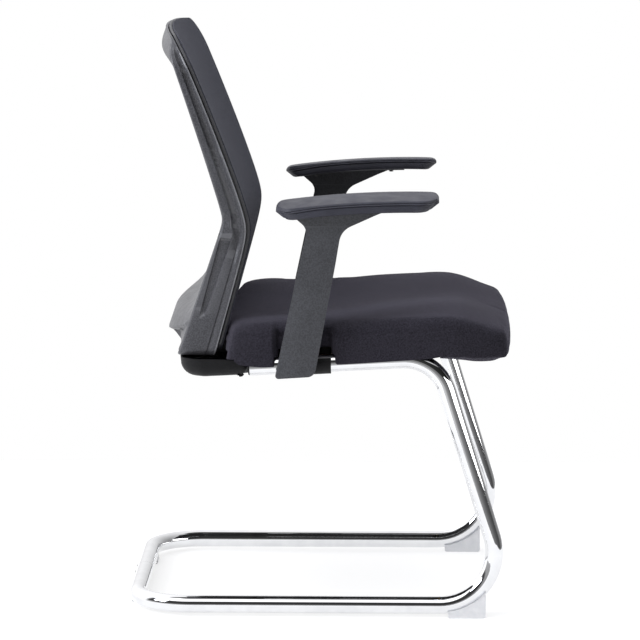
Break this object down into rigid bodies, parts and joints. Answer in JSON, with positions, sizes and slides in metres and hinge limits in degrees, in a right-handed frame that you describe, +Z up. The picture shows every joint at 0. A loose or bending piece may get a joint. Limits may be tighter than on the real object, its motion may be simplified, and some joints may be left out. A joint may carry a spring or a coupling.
{
  "type": "visitor chair",
  "caption": "Cantilever visitor chair with a bent chromed tube frame, padded seat, fixed arms with soft pads, and a mesh back in a moulded frame.",
  "frame": {"origin": "on the floor, under the middle of the whole chair", "axes": "+Z up, -Y the way the sitter faces, +X to the sitter's left"},
  "size_m": [0.608, 0.6078, 0.9162],
  "materials": {
    "chrome": "mirror plated",
    "steel": "black powder coat",
    "zinc": "zinc plated",
    "nylon": "fine texture",
    "shell": "fine texture",
    "pad": "soft moulded skin",
    "fabric": "woven",
    "mesh": "knitted mesh",
    "board": "pressed plywood",
    "glide": "translucent"
  },
  "bodies": {
    "root": {"frame_tube_left": "chrome", "frame_tube_right": "chrome", "joint_sleeve": "zinc", "joint_rivet_1": "zinc", "joint_rivet_2": "zinc", "rail_plug_left": "shell", "rail_plug_right": "shell", "front_glide_left": "glide", "front_glide_right": "glide", "rear_glide_left": "glide", "rear_glide_right": "glide", "arm_left": "nylon", "arm_right": "nylon", "arm_saddle_left": "shell", "arm_saddle_right": "shell", "arm_pad_left": "pad", "arm_pad_right": "pad", "seat_crossbar_front": "steel", "seat_crossbar_rear": "steel", "seat_pan": "board", "seat_tnut_1": "zinc", "seat_tnut_2": "zinc", "seat_tnut_3": "zinc", "seat_tnut_4": "zinc", "seat_tnut_5": "zinc", "seat_tnut_6": "zinc", "seat_tnut_7": "zinc", "seat_tnut_8": "zinc", "seat_bolt_front_1": "zinc", "seat_bolt_front_2": "zinc", "seat_bolt_rear_1": "zinc", "seat_bolt_rear_2": "zinc", "arm_bolt_1": "zinc", "arm_bolt_2": "zinc", "arm_bolt_3": "zinc", "arm_bolt_4": "zinc", "tray_screw_1": "zinc", "tray_screw_2": "zinc", "tray_screw_3": "zinc", "tray_screw_4": "zinc", "pad_screw_1": "zinc", "pad_screw_2": "zinc", "pad_screw_3": "zinc", "pad_screw_4": "zinc", "back_bolt_1": "zinc", "back_bolt_2": "zinc", "back_bolt_3": "zinc", "back_bolt_4": "zinc", "back_nut_1": "zinc", "back_nut_2": "zinc", "back_nut_3": "zinc", "back_nut_4": "zinc", "seat_cushion": "fabric", "seat_tray": "shell", "back_frame": "nylon", "back_inner_frame": "shell", "back_mesh": "mesh", "back_bracket": "steel"}
  },
  "joints": []
}
